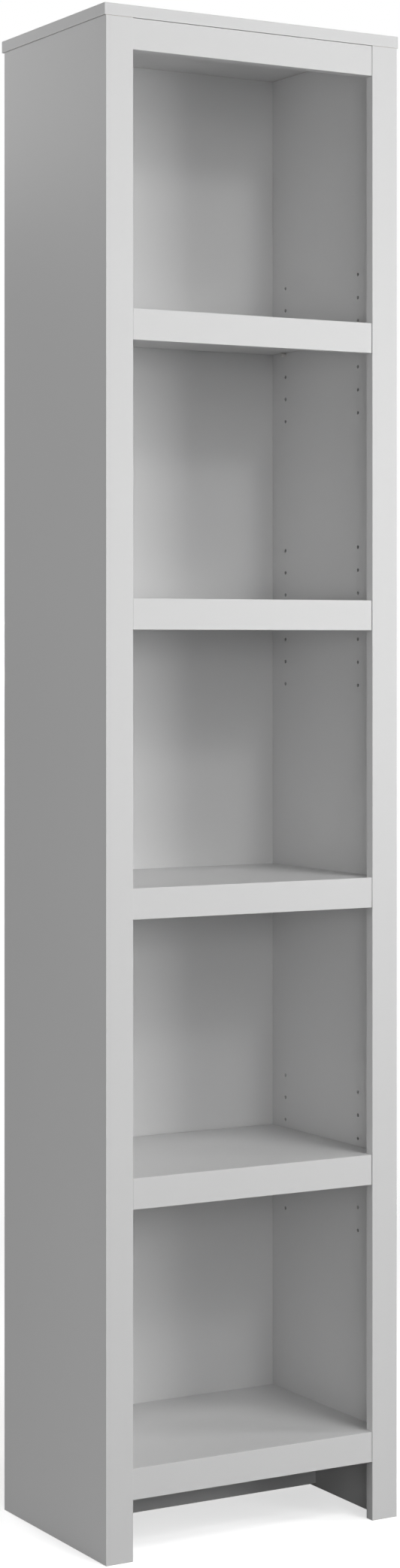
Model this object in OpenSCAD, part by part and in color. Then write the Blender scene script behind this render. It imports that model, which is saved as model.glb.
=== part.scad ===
// Tall narrow bookcase with a face frame: one fixed shelf in the middle, a bottom shelf, and three
// adjustable shelves on pins. Millimetres, +Z up, +X to the right, the front faces -Y.
// The origin is on the floor, in the middle of the width and of the overall depth.
// Inside from_front() a Y value is the distance behind the face of the stiles.

/* [Case] */
// Overall height, from the floor to the upper face of the top panel
total_h = 2030; // [1800:10:2200]
// Width over the two side panels
case_w = 452; // [400:2:900]
// Depth from the face of the stiles to the rear edge of the side panels
case_d = 298; // [296:1:400]
// Thickness of the side panels, the shelves and the toe board
panel_t = 18; // [18:1:22]
// Thickness of the back panel
back_t = 3; // [3:0.5:4]

/* [Top panel] */
// Thickness of the top panel
top_t = 16; // [15:1:25]
// How far the top panel stands past each side
top_side_overhang = 2; // [0:0.5:10]
// How far the top panel stands past the rear edge of the sides
top_rear_overhang = 4; // [4:0.5:10]
// Shadow gap between the top rail and the top panel
top_seam = 0.5; // [0:0.1:2]

/* [Face frame] */
// Width of the two stiles
stile_w = 40; // [36:1:60]
// Thickness of the stiles and the rails
frame_t = 15; // [15:0.5:20]
// Height of every rail
rail_h = 41; // [36:1:60]
// How far the rails lie behind the face of the stiles
rail_recess = 1; // [0.5:0.5:3]

/* [Toe space] */
// Clear height under the bottom rail
toe_h = 80; // [70:1:110]
// Distance from the face of the stiles to the toe board
toe_setback = 180; // [40:1:220]
// Gap between the toe board and the floor
toe_gap = 5; // [0:1:10]

/* [Adjustable shelves] */
// Gap between each end of an adjustable shelf and the side panel
shelf_side_gap = 1.5; // [1.2:0.1:3]
// Gap between each end of its front rail and the stile
rail_side_gap = 0.5; // [0.3:0.1:1.5]
// Gap between its rear edge and the back panel
shelf_rear_gap = 2; // [1:0.5:10]

/* [Shelf pins] */
// Diameter of the pin holes
pin_hole_d = 5; // [5:0.5:7]
// Depth of the pin holes
pin_hole_depth = 12; // [10:0.5:14]
// Height from one pin hole to the next
pin_pitch = 32; // [25:1:32]
// Number of pin holes in a row round each adjustable shelf
pin_hole_count = 7; // [3:2:9]
// Distance from the face of the stiles to the front row of pin holes
pin_row_front = 70.5; // [60:0.5:80]
// Distance between the front row and the rear row
pin_row_spacing = 192; // [160:32:192]
// Diameter of the pin's head, which the shelf lies on
pin_head_d = 6; // [6:0.5:9]
// Length of the pin's head
pin_head_l = 8; // [6:0.5:12]
// Length of the pin's shank in its hole
pin_shank_l = 9; // [6:0.5:9]
// Play between the pin's shank and the wall of its hole
pin_play = 0.05; // [0.02:0.01:0.1]

/* [Joinery] */
// Diameter of the dowels in panel edges
dowel_d = 8; // [6:1:8]
// Diameter of the dowels in the ends of the rails
thin_dowel_d = 6; // [5:1:8]
// Length of every dowel
dowel_l = 30; // [26:1:30]
// Diameter of the cam locks
cam_d = 15; // [14:0.5:16]
// Distance from the end of a shelf to the centre of its cam locks
cam_reach = 34; // [30:1:40]
// Largest distance between two back panel nails
nail_spacing = 150; // [80:5:300]

/* [Hidden] */

paint = [0.84, 0.84, 0.85];
hardboard = [0.46, 0.33, 0.22];
beech = [0.80, 0.62, 0.42];
nickel = [0.72, 0.71, 0.69];
zinc = [0.62, 0.63, 0.64];
die_cast = [0.50, 0.51, 0.53];

round_fn = 48; // facets of a full circle

// Widths, measured from the middle of the case
outer_x = case_w / 2;
inner_x = outer_x - panel_t;
side_mid_x = outer_x - panel_t / 2;
stile_inner_x = outer_x - stile_w;
shelf_half_w = inner_x - shelf_side_gap;
shelf_rail_half_w = stile_inner_x - rail_side_gap;

// Depths, measured from the face of the stiles
total_d = case_d + top_rear_overhang;
rail_y = [rail_recess, rail_recess + frame_t];
fixed_shelf_y = [rail_y[1], case_d];
shelf_y = [rail_y[1], case_d - shelf_rear_gap];
toe_y = [toe_setback, toe_setback + panel_t];
pin_rows_y = [pin_row_front, pin_row_front + pin_row_spacing];
pin_mid_y = pin_row_front + pin_row_spacing / 2;

// Heights above the floor. Rails are counted from 0, the bottom rail, to 5, the top rail.
compartments = 5;
top_z = total_h - top_t;
opening_h = (top_z - top_seam - toe_h - (compartments + 1) * rail_h) / compartments;
rail_step = rail_h + opening_h;
function rail_z(i) = toe_h + i * rail_step;
function shelf_top_z(i) = rail_z(i) + rail_h;
function shelf_mid_z(i) = shelf_top_z(i) - panel_t / 2;
function pin_z(i) = shelf_top_z(i) - panel_t - pin_head_d / 2;
lower_i = 1;
fixed_i = 2;
second_i = 3;
upper_i = 4;
adjustable = [lower_i, second_i, upper_i];
fixed_shelf_levels = [0, fixed_i];

// Dowel centres. A dowel goes dowel_bite into the thin board and the rest into the panel's edge.
dowel_bite = 10;
dowel_shift = dowel_l / 2 - dowel_bite;
dowel_room = 1; // what a dowel hole is longer than its dowel
top_dowel_y = [55, case_d / 2, case_d - 48];
stile_dowel_margin = 150;
stile_dowel_count = 5;
stile_dowel_step = (top_z - 2 * stile_dowel_margin) / (stile_dowel_count - 1);
nose_dowel_x = [-0.36 * case_w, 0, 0.36 * case_w];
rail_dowel_y = (rail_recess + frame_t) / 2; // the middle of what stile and rail share
rail_dowel_dz = rail_h / 4;
toe_dowel_margin = 24;
toe_z = [toe_gap, shelf_top_z(0) - panel_t];

function both(x) = [-x, x];
top_dowel_spots = [for (x = both(side_mid_x), y = top_dowel_y) [x, y, top_z - dowel_shift]];
stile_dowel_spots = [
    for (x = both(side_mid_x), i = [0 : stile_dowel_count - 1])
        [x, frame_t + dowel_shift, stile_dowel_margin + i * stile_dowel_step]
];
frame_rail_dowel_spots = [
    for (x = both(stile_inner_x), i = [0, compartments], s = [-1, 1])
        [x, rail_dowel_y, rail_z(i) + rail_h / 2 + s * rail_dowel_dz]
];
fixed_shelf_dowel_spots = [
    for (x = both(inner_x - dowel_shift), i = fixed_shelf_levels) [x, pin_mid_y, shelf_mid_z(i)]
];
toe_dowel_spots = [
    for (x = both(inner_x - dowel_shift), z = [toe_z[0] + toe_dowel_margin, toe_z[1] - toe_dowel_margin])
        [x, toe_setback + panel_t / 2, z]
];
function nose_dowel_spots(i) = [for (x = nose_dowel_x) [x, rail_y[1] + dowel_shift, shelf_mid_z(i)]];

// Cam bolts and cam locks
bolt_hole_d = 8;
bolt_thread_d = 5;
bolt_thread_l = 11;
cam_room = 0.2; // play round a cam in its pocket
cam_depth = 13.5;
cam_wall = 1.8;
cam_floor = 5;
cam_neck_slot = 4.4;

// Back panel nails
nail_d = 1.4;
nail_l = 20;
nail_head_d = 3.4;
nail_head_t = 0.8;
nail_end_margin = 25;
back_z = [toe_z[1], top_z];
back_side_margin = 2;
nail_gaps = ceil((back_z[1] - back_z[0] - 2 * nail_end_margin) / nail_spacing);
nail_step = (back_z[1] - back_z[0] - 2 * nail_end_margin) / nail_gaps;
nail_y = case_d + back_t;
nail_z = [for (i = [0 : nail_gaps]) back_z[0] + nail_end_margin + i * nail_step];
nail_spots = concat(
    [for (x = both(side_mid_x), z = nail_z) [x, nail_y, z]],
    [for (x = nose_dowel_x, i = fixed_shelf_levels) [x * 0.8, nail_y, shelf_mid_z(i)]]
);

// Moves its children from the face of the stiles to the origin in the middle of the depth
module from_front() {
    translate([0, -total_d / 2, 0]) children();
}

// Repeats its children at every point
module at(points) {
    for (p = points) translate(p) children();
}

// A board between two corners, given as a [low, high] span along each axis
module board(x, y, z) {
    translate([x[0], y[0], z[0]]) cube([x[1] - x[0], y[1] - y[0], z[1] - z[0]]);
}

// Turns what is drawn along +Z to lie along +X, or along +Y
module along_x() {
    rotate([0, 90, 0]) children();
}
module along_y() {
    rotate([-90, 0, 0]) children();
}

// A round hole centred on the origin, drawn along Z
module hole(d, l) {
    cylinder(d = d, h = l, center = true, $fn = round_fn);
}

// The hole for a dowel, with room for glue at both ends
module dowel_hole(d) {
    hole(d, dowel_l + dowel_room * 2);
}

// A dowel with chamfered ends, centred on the origin and drawn along Z
module dowel(d) {
    chamfer = 1;
    r = d / 2;
    half = dowel_l / 2;
    rotate_extrude($fn = round_fn) polygon([
        [0, -half], [r - chamfer, -half], [r, chamfer - half],
        [r, half - chamfer], [r - chamfer, half], [0, half]
    ]);
}

// Panels of the case

module top_panel() {
    half_w = outer_x + top_side_overhang;
    color(paint) from_front() difference() {
        board([-half_w, half_w], [0, total_d], [top_z, total_h]);
        at(top_dowel_spots) dowel_hole(dowel_d);
    }
}

// The pin holes round one adjustable shelf, in the inner face of the side at side = -1 or 1
module pin_holes(side, i) {
    reach = (pin_hole_count - 1) / 2;
    for (y = pin_rows_y, n = [-reach : reach])
        translate([side * (inner_x + pin_hole_depth / 2), y, pin_z(i) + n * pin_pitch])
            along_x() hole(pin_hole_d, pin_hole_depth);
}

module side_panel(side) {
    x = side < 0 ? [-outer_x, -inner_x] : [inner_x, outer_x];
    color(paint) from_front() difference() {
        board(x, [frame_t, case_d], [0, top_z]);
        at(top_dowel_spots) dowel_hole(dowel_d);
        at(stile_dowel_spots) along_y() dowel_hole(dowel_d);
        at(fixed_shelf_dowel_spots) along_x() dowel_hole(dowel_d);
        at(toe_dowel_spots) along_x() dowel_hole(dowel_d);
        for (i = adjustable) pin_holes(side, i);
        for (y = pin_rows_y, i = fixed_shelf_levels)
            translate([side * (inner_x + bolt_thread_l / 2), y, shelf_mid_z(i)])
                along_x() hole(bolt_thread_d, bolt_thread_l);
    }
}
module side_panel_left() { side_panel(-1); }
module side_panel_right() { side_panel(1); }

module toe_board() {
    color(paint) from_front() difference() {
        board([-inner_x, inner_x], toe_y, toe_z);
        at(toe_dowel_spots) along_x() dowel_hole(dowel_d);
    }
}

module back_panel() {
    half_w = outer_x - back_side_margin;
    color(hardboard) from_front() board([-half_w, half_w], [case_d, case_d + back_t], back_z);
}

// Face frame

module stile(side) {
    x = side < 0 ? [-outer_x, -stile_inner_x] : [stile_inner_x, outer_x];
    color(paint) from_front() difference() {
        board(x, [0, frame_t], [0, top_z]);
        at(stile_dowel_spots) along_y() dowel_hole(dowel_d);
        at(frame_rail_dowel_spots) along_x() dowel_hole(thin_dowel_d);
    }
}
module stile_left() { stile(-1); }
module stile_right() { stile(1); }

module rail_board(half_w, i) {
    board([-half_w, half_w], rail_y, [rail_z(i), rail_z(i) + rail_h]);
}

module top_rail() {
    color(paint) from_front() difference() {
        rail_board(stile_inner_x, compartments);
        at(frame_rail_dowel_spots) along_x() dowel_hole(thin_dowel_d);
    }
}

module bottom_rail() {
    color(paint) from_front() difference() {
        rail_board(stile_inner_x, 0);
        at(frame_rail_dowel_spots) along_x() dowel_hole(thin_dowel_d);
        at(nose_dowel_spots(0)) along_y() dowel_hole(dowel_d);
    }
}

// The rail across the front of a shelf
module nose_rail(half_w, i) {
    color(paint) from_front() difference() {
        rail_board(half_w, i);
        at(nose_dowel_spots(i)) along_y() dowel_hole(dowel_d);
    }
}
module fixed_shelf_rail() { nose_rail(stile_inner_x, fixed_i); }
module upper_shelf_rail() { nose_rail(shelf_rail_half_w, upper_i); }
module second_shelf_rail() { nose_rail(shelf_rail_half_w, second_i); }
module lower_shelf_rail() { nose_rail(shelf_rail_half_w, lower_i); }

// Shelves

module shelf_board(half_w, y, i) {
    difference() {
        board([-half_w, half_w], y, [shelf_top_z(i) - panel_t, shelf_top_z(i)]);
        at(nose_dowel_spots(i)) along_y() dowel_hole(dowel_d);
    }
}

// A shelf that is dowelled and cam-locked between the side panels
module locked_shelf(i) {
    color(paint) from_front() difference() {
        shelf_board(inner_x, fixed_shelf_y, i);
        at(fixed_shelf_dowel_spots) along_x() dowel_hole(dowel_d);
        for (side = [-1, 1], y = pin_rows_y) {
            translate([side * (inner_x - cam_reach / 2), y, shelf_mid_z(i)])
                along_x() hole(bolt_hole_d, cam_reach);
            translate([side * (inner_x - cam_reach), y, shelf_top_z(i) - panel_t + cam_depth / 2])
                hole(cam_d, cam_depth);
        }
    }
}
module bottom_shelf() { locked_shelf(0); }
module fixed_shelf() { locked_shelf(fixed_i); }

module loose_shelf(i) {
    color(paint) from_front() shelf_board(shelf_half_w, shelf_y, i);
}
module upper_shelf() { loose_shelf(upper_i); }
module second_shelf() { loose_shelf(second_i); }
module lower_shelf() { loose_shelf(lower_i); }

// A shelf pin drawn along +Z: its shank lies below Z = 0, its head stands on the shoulder there
module shelf_pin() {
    chamfer = 0.6;
    shank_r = pin_hole_d / 2 - pin_play;
    head_r = pin_head_d / 2;
    rotate_extrude($fn = round_fn) polygon([
        [0, -pin_shank_l], [shank_r - chamfer, -pin_shank_l], [shank_r, chamfer - pin_shank_l],
        [shank_r, 0], [head_r, 0], [head_r, pin_head_l - chamfer],
        [head_r - chamfer, pin_head_l], [0, pin_head_l]
    ]);
}

module pin_pair(side, i) {
    color(nickel) from_front()
        for (y = pin_rows_y) translate([side * inner_x, y, pin_z(i)])
            rotate([0, -90 * side, 0]) shelf_pin();
}
module upper_pins_left() { pin_pair(-1, upper_i); }
module upper_pins_right() { pin_pair(1, upper_i); }
module second_pins_left() { pin_pair(-1, second_i); }
module second_pins_right() { pin_pair(1, second_i); }
module lower_pins_left() { pin_pair(-1, lower_i); }
module lower_pins_right() { pin_pair(1, lower_i); }

// Dowels

module top_dowels() {
    color(beech) from_front() at(top_dowel_spots) dowel(dowel_d);
}
module stile_dowels() {
    color(beech) from_front() at(stile_dowel_spots) along_y() dowel(dowel_d);
}
module frame_rail_dowels() {
    color(beech) from_front() at(frame_rail_dowel_spots) along_x() dowel(thin_dowel_d);
}
module fixed_shelf_dowels() {
    color(beech) from_front() at(fixed_shelf_dowel_spots) along_x() dowel(dowel_d);
}
module toe_board_dowels() {
    color(beech) from_front() at(toe_dowel_spots) along_x() dowel(dowel_d);
}
module nose_dowels(i) {
    color(beech) from_front() at(nose_dowel_spots(i)) along_y() dowel(dowel_d);
}
module case_nose_dowels() {
    for (i = fixed_shelf_levels) nose_dowels(i);
}
module upper_nose_dowels() { nose_dowels(upper_i); }
module second_nose_dowels() { nose_dowels(second_i); }
module lower_nose_dowels() { nose_dowels(lower_i); }

// Cam fittings of the two locked shelves

// A cam bolt drawn along +Z: the thread lies below Z = 0, the head sits in the cam near Z = cam_reach
module cam_bolt() {
    thread_r = bolt_thread_d / 2;
    flange = [3.5, 1.5];
    shank_r = 3;
    neck = [1.75, cam_reach - cam_d / 2];
    head = [3.1, cam_reach - 3.5, cam_reach - 0.5];
    rotate_extrude($fn = round_fn) polygon([
        [0, 0.5 - bolt_thread_l], [thread_r - 0.5, 0.5 - bolt_thread_l], [thread_r, 1 - bolt_thread_l],
        [thread_r, 0], [flange[0], 0], [flange[0], flange[1]], [shank_r, flange[1]],
        [shank_r, neck[1]], [neck[0], neck[1]], [neck[0], head[1]], [head[0], head[1] + 1],
        [head[0], head[2] - 1], [neck[0], head[2]], [0, head[2]]
    ]);
}

module cam_bolts() {
    color(zinc) from_front()
        for (side = [-1, 1], y = pin_rows_y, i = fixed_shelf_levels)
            translate([side * inner_x, y, shelf_mid_z(i)])
                rotate([0, -90 * side, 0]) cam_bolt();
}

// A cam lock that stands on Z = 0, open above its floor, with its neck slot towards +X
module cam_lock() {
    r = (cam_d - cam_room * 2) / 2;
    h = cam_depth - cam_room;
    cross = [8, 1.6, 2];
    difference() {
        cylinder(r = r, h = h, $fn = round_fn);
        translate([0, 0, cam_floor]) cylinder(r = r - cam_wall, h = h, $fn = round_fn);
        translate([0, -cam_neck_slot / 2, cam_floor]) cube([cam_d, cam_neck_slot, h]);
        for (a = [0, 90]) rotate([0, 0, a])
            translate([-cross[0] / 2, -cross[1] / 2, -1]) cube([cross[0], cross[1], cross[2] + 1]);
    }
}

module cam_locks() {
    color(die_cast) from_front()
        for (side = [-1, 1], y = pin_rows_y, i = fixed_shelf_levels)
            translate([side * (inner_x - cam_reach), y, shelf_top_z(i) - panel_t])
                rotate([0, 0, side < 0 ? 180 : 0]) cam_lock();
}

// A back panel nail drawn along -Z, with the head's underside on Z = 0
module back_nail() {
    tip = 1.5;
    r = nail_d / 2;
    rotate_extrude($fn = round_fn) polygon([
        [0, -nail_l], [r, tip - nail_l], [r, 0], [nail_head_d / 2, 0],
        [nail_head_d / 2, nail_head_t / 2], [nail_head_d / 3, nail_head_t], [0, nail_head_t]
    ]);
}

module back_nails() {
    color(zinc) from_front() at(nail_spots) along_y() back_nail();
}

top_panel();
side_panel_left();
side_panel_right();
stile_left();
stile_right();
top_rail();
bottom_rail();
bottom_shelf();
fixed_shelf();
fixed_shelf_rail();
toe_board();
back_panel();
upper_shelf();
upper_shelf_rail();
second_shelf();
second_shelf_rail();
lower_shelf();
lower_shelf_rail();
upper_pins_left();
upper_pins_right();
second_pins_left();
second_pins_right();
lower_pins_left();
lower_pins_right();
top_dowels();
stile_dowels();
frame_rail_dowels();
fixed_shelf_dowels();
toe_board_dowels();
case_nose_dowels();
upper_nose_dowels();
second_nose_dowels();
lower_nose_dowels();
cam_bolts();
cam_locks();
back_nails();
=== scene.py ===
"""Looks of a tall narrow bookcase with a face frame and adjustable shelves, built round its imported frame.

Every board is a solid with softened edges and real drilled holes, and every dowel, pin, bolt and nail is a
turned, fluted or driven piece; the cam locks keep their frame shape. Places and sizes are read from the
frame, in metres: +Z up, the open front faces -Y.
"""

import logging
import math
from collections.abc import Iterable, Mapping, Sequence
from dataclasses import dataclass, field
from enum import Enum
from typing import Any

import bmesh
import bpy
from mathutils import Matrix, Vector


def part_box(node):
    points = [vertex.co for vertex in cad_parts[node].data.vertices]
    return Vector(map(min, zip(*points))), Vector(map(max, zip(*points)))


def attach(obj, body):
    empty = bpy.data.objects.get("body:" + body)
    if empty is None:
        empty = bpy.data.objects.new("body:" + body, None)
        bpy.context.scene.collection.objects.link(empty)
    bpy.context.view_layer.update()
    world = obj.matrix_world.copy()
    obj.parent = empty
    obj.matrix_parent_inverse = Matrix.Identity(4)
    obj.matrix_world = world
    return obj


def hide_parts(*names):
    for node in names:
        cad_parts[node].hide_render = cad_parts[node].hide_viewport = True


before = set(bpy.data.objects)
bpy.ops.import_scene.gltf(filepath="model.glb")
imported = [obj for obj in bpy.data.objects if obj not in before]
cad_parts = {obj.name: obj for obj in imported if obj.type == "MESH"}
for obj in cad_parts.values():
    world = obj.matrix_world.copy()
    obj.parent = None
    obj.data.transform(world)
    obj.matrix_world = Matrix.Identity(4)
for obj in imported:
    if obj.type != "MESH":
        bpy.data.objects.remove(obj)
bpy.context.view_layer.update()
MM = 0.001
WELD = 0.005 * MM
log = logging.getLogger("bookcase")

Colour = tuple[float, float, float, float]
Outline = list[tuple[float, float]]
Rings = tuple[tuple[float, float], ...]


class Face(Enum):
    """The faces of a board, each as its outward normal."""

    LEFT = (-1, 0, 0)
    RIGHT = (1, 0, 0)
    FRONT = (0, -1, 0)
    REAR = (0, 1, 0)
    BOTTOM = (0, 0, -1)
    TOP = (0, 0, 1)


class Axis(Enum):
    """The direction that a round fitting or hole runs in, as the turn that lays +Z along it."""

    X = (0.0, math.pi / 2, 0.0)
    MINUS_X = (0.0, -math.pi / 2, 0.0)
    Y = (-math.pi / 2, 0.0, 0.0)
    Z = (0.0, 0.0, 0.0)


class Side(Enum):
    """The two sides of the case, as the sign of X."""

    LEFT = -1
    RIGHT = 1

    @property
    def word(self) -> str:
        """The side's name, as the frame's nodes give it."""
        return self.name.lower()

    @property
    def outer(self) -> Face:
        """The face of a board that looks out on this side."""
        return Face((self.value, 0, 0))

    @property
    def inwards(self) -> Axis:
        """The direction from this side into the case."""
        return Axis.X if self is Side.LEFT else Axis.MINUS_X


class Slot(Enum):
    """The names of material slots. A board keeps one in its slot field, which nothing here reads."""

    PAINT = "grey_paint"
    HARDBOARD = "hardboard"
    BEECH = "beech"
    NICKEL = "nickel"
    ZINC = "zinc"


# ---------------------------------------------------------------- node trees


class Graph:
    """Adds nodes to a node tree and joins them."""

    def __init__(self, tree: bpy.types.NodeTree) -> None:
        """Works on an empty or a part-built tree.

        Args:
            tree: The tree that new nodes go into.
        """
        self.tree = tree

    def node(
        self,
        kind: str,
        settings: Mapping[str, Any] | None = None,
        inputs: Mapping[str | int, Any] | None = None,
    ) -> bpy.types.Node:
        """Adds one node.

        Args:
            kind: The node's type name.
            settings: Attributes that are set before the sockets.
            inputs: Socket names or numbers, each with a value, a socket or a Signal.

        Returns:
            The new node.
        """
        made = self.tree.nodes.new(kind)
        for name, value in (settings or {}).items():
            setattr(made, name, value)
        for key, value in (inputs or {}).items():
            source = value.socket if isinstance(value, Signal) else value
            if isinstance(source, bpy.types.NodeSocket):
                self.tree.links.new(source, made.inputs[key])
            else:
                made.inputs[key].default_value = source
        return made

    def signal(self, node: bpy.types.Node, output: str | int = 0) -> "Signal":
        """Wraps a node's output for arithmetic."""
        return Signal(self, node.outputs[output])


@dataclass(frozen=True)
class Signal:
    """A number that varies over a surface or a list of points. Arithmetic on it adds Math nodes."""

    graph: Graph
    socket: bpy.types.NodeSocket

    def math(self, operation: str, first: Any, second: Any = 0.0) -> "Signal":
        """Adds one Math node.

        Args:
            operation: The Math node's operation.
            first: Its first value or Signal.
            second: Its second value or Signal.

        Returns:
            The node's result.
        """
        made = self.graph.node("ShaderNodeMath", {"operation": operation}, {0: first, 1: second})
        return Signal(self.graph, made.outputs[0])

    def __add__(self, other: Any) -> "Signal":
        """Adds."""
        return self.math("ADD", self, other)

    def __radd__(self, other: Any) -> "Signal":
        """Adds to a plain number."""
        return self.math("ADD", other, self)

    def __sub__(self, other: Any) -> "Signal":
        """Subtracts."""
        return self.math("SUBTRACT", self, other)

    def __rsub__(self, other: Any) -> "Signal":
        """Subtracts from a plain number."""
        return self.math("SUBTRACT", other, self)

    def __mul__(self, other: Any) -> "Signal":
        """Multiplies."""
        return self.math("MULTIPLY", self, other)

    def __truediv__(self, other: Any) -> "Signal":
        """Divides."""
        return self.math("DIVIDE", self, other)

    def of(self, operation: str) -> "Signal":
        """Applies a function of one value, such as COSINE."""
        return self.math(operation, self)

    def above(self, limit: float) -> "Signal":
        """Gives 1 where the signal is over a limit, and 0 elsewhere."""
        return self.math("GREATER_THAN", self, limit)


class Surface(Graph):
    """The shader graph of one material, with the few shorthands that the finishes share."""

    def __init__(self, name: str) -> None:
        """Makes the material with an empty graph that reads Object coordinates.

        Args:
            name: The material's name.
        """
        self.material = bpy.data.materials.new(name)
        self.material.use_nodes = True
        super().__init__(self.material.node_tree)
        self.tree.nodes.clear()
        self.place = self.node("ShaderNodeTexCoord").outputs["Object"]

    def stretched(self, scale: Sequence[float]) -> bpy.types.NodeSocket:
        """Gives Object coordinates scaled along each axis."""
        return self.node("ShaderNodeMapping", inputs={"Vector": self.place, "Scale": scale}).outputs[0]

    def noise(self, scale: float, detail: float = 2.0, place: bpy.types.NodeSocket | None = None) -> Signal:
        """Adds fractal noise.

        Args:
            scale: Grains in a metre.
            detail: Octaves.
            place: The coordinates, or None for plain Object coordinates.

        Returns:
            The noise, from 0 to 1.
        """
        made = self.node(
            "ShaderNodeTexNoise",
            {"noise_dimensions": "3D"},
            {"Vector": place or self.place, "Scale": scale, "Detail": detail},
        )
        return self.signal(made, "Fac")

    def mix(self, share: Any, first: Any, second: Any) -> bpy.types.NodeSocket:
        """Mixes two colours.

        Args:
            share: How much of the second colour, a Signal or a number.
            first: A colour or a socket.
            second: A colour or a socket.

        Returns:
            The mixed colour.
        """
        made = self.node("ShaderNodeMix", {"data_type": "RGBA"}, {0: share, 6: first, 7: second})
        return made.outputs[2]

    def bump(
        self, height: Signal, depth: float, under: bpy.types.NodeSocket | None = None
    ) -> bpy.types.NodeSocket:
        """Turns a height signal into a normal.

        Args:
            height: The relief, from 0 to 1.
            depth: What 1 stands for, in metres.
            under: The normal of a coarser relief below this one.

        Returns:
            The normal.
        """
        inputs: dict[str | int, Any] = {"Height": height, "Strength": 1.0, "Distance": depth}
        if under is not None:
            inputs["Normal"] = under
        return self.node("ShaderNodeBump", inputs=inputs).outputs["Normal"]

    def finish(self, inputs: Mapping[str | int, Any]) -> bpy.types.Material:
        """Ends the graph in a Principled shader.

        Args:
            inputs: The shader's sockets, each with a value or a link.

        Returns:
            The finished material.
        """
        shader = self.node("ShaderNodeBsdfPrincipled", inputs=inputs)
        self.node("ShaderNodeOutputMaterial", inputs={"Surface": shader.outputs[0]})
        return self.material


def dimmed(colour: Colour, share: float) -> Colour:
    """Gives a colour with a share of its light taken away."""
    red, green, blue = (value * (1 - share) for value in colour[:3])
    return (red, green, blue, colour[3])


@dataclass(frozen=True)
class SatinPaint:
    """Sprayed satin paint: even colour, a faint orange peel and a soft sheen."""

    name: str = "satin_paint"
    colour: Colour = (0.75, 0.75, 0.75, 1.0)
    roughness: float = 0.42
    peel_depth: float = 0.012 * MM
    cloudiness: float = 0.03
    clouds_per_metre: float = 3.5
    dimples_per_metre: float = 420.0
    dust_per_metre: float = 1900.0

    def material(self) -> bpy.types.Material:
        """Builds the paint's material.

        Returns:
            The material.
        """
        surface = Surface(self.name)
        dimmer = dimmed(self.colour, self.cloudiness)
        clouds = surface.noise(self.clouds_per_metre, 3.0)
        peel = surface.noise(self.dimples_per_metre, 2.0)
        dust = surface.noise(self.dust_per_metre, 1.0)
        relief = surface.bump(dust, self.peel_depth * 0.25, surface.bump(peel, self.peel_depth))
        return surface.finish(
            {
                "Base Color": surface.mix(clouds, dimmer, self.colour),
                "Roughness": self.roughness + (peel - 0.5) * 0.08 + (clouds - 0.5) * 0.05,
                "Normal": relief,
                "Specular IOR Level": 0.4,
            }
        )


@dataclass(frozen=True)
class FibreCore:
    """The raw fibreboard inside a drilled hole and on edges that no one sees."""

    light: Colour = (0.42, 0.30, 0.19, 1.0)
    dark: Colour = (0.25, 0.165, 0.10, 1.0)
    fibres_per_metre: float = 900.0
    fibre_depth: float = 0.1 * MM
    specks_per_metre: float = 2600.0
    speck_depth: float = 0.12 * MM

    def material(self) -> bpy.types.Material:
        """Builds the core's material.

        Returns:
            The material.
        """
        surface = Surface("fibre_core")
        fibres = surface.noise(self.fibres_per_metre, 4.0)
        specks = surface.noise(self.specks_per_metre, 2.0)
        relief = surface.bump(specks, self.speck_depth, surface.bump(fibres, self.fibre_depth))
        return surface.finish(
            {
                "Base Color": surface.mix(fibres * 0.7 + specks * 0.3, self.dark, self.light),
                "Roughness": 0.85 + (specks - 0.5) * 0.1,
                "Normal": relief,
                "Specular IOR Level": 0.2,
            }
        )


@dataclass(frozen=True)
class ScreenedHardboard:
    """The rough rear of hardboard, with the print of the wire screen that it was pressed on."""

    light: Colour = (0.40, 0.25, 0.14, 1.0)
    dark: Colour = (0.22, 0.13, 0.07, 1.0)
    wires_per_metre: float = 420.0
    print_depth: float = 0.16 * MM
    fibres_per_metre: float = 260.0
    fibre_depth: float = 0.08 * MM
    patches_per_metre: float = 9.0

    def material(self) -> bpy.types.Material:
        """Builds the hardboard's material.

        Returns:
            The material.
        """
        surface = Surface("screened_hardboard")
        fibres = surface.noise(self.fibres_per_metre, 5.0, surface.stretched((1.0, 1.0, 0.35)))
        patches = surface.noise(self.patches_per_metre, 3.0)
        waves_in_a_band = 3.2
        wires = []
        for direction in ("X", "Z"):
            wave = surface.node(
                "ShaderNodeTexWave",
                {"wave_type": "BANDS", "bands_direction": direction, "wave_profile": "SIN"},
                {
                    "Vector": surface.place,
                    "Scale": self.wires_per_metre / waves_in_a_band,
                    "Distortion": 0.6,
                    "Detail": 1.0,
                    "Detail Scale": 2.0,
                },
            )
            wires.append(surface.signal(wave, "Fac"))
        screen = wires[0] * wires[1]
        tone = fibres * 0.5 + patches * 0.25 + (1 - screen) * 0.25
        relief = surface.bump(screen, self.print_depth, surface.bump(fibres, self.fibre_depth))
        return surface.finish(
            {
                "Base Color": surface.mix(tone, self.dark, self.light),
                "Roughness": 0.82 - screen * 0.12,
                "Normal": relief,
                "Specular IOR Level": 0.25,
            }
        )


@dataclass(frozen=True)
class TurnedBeech:
    """Pale beech with short dark flecks, as dowels are cut from."""

    light: Colour = (0.62, 0.43, 0.26, 1.0)
    dark: Colour = (0.46, 0.29, 0.16, 1.0)
    grain_per_metre: float = 700.0
    grain_depth: float = 0.05 * MM
    flecks_per_metre: float = 1500.0
    fleck_limit: float = 0.66

    def material(self) -> bpy.types.Material:
        """Builds the beech's material.

        Returns:
            The material.
        """
        surface = Surface("turned_beech")
        grain = surface.noise(self.grain_per_metre, 3.0)
        flecks = surface.noise(self.flecks_per_metre, 1.0).above(self.fleck_limit)
        return surface.finish(
            {
                "Base Color": surface.mix(grain * 0.8 + flecks * 0.2, self.light, self.dark),
                "Roughness": 0.6 + (grain - 0.5) * 0.15,
                "Normal": surface.bump(grain, self.grain_depth),
                "Specular IOR Level": 0.3,
            }
        )


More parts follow.
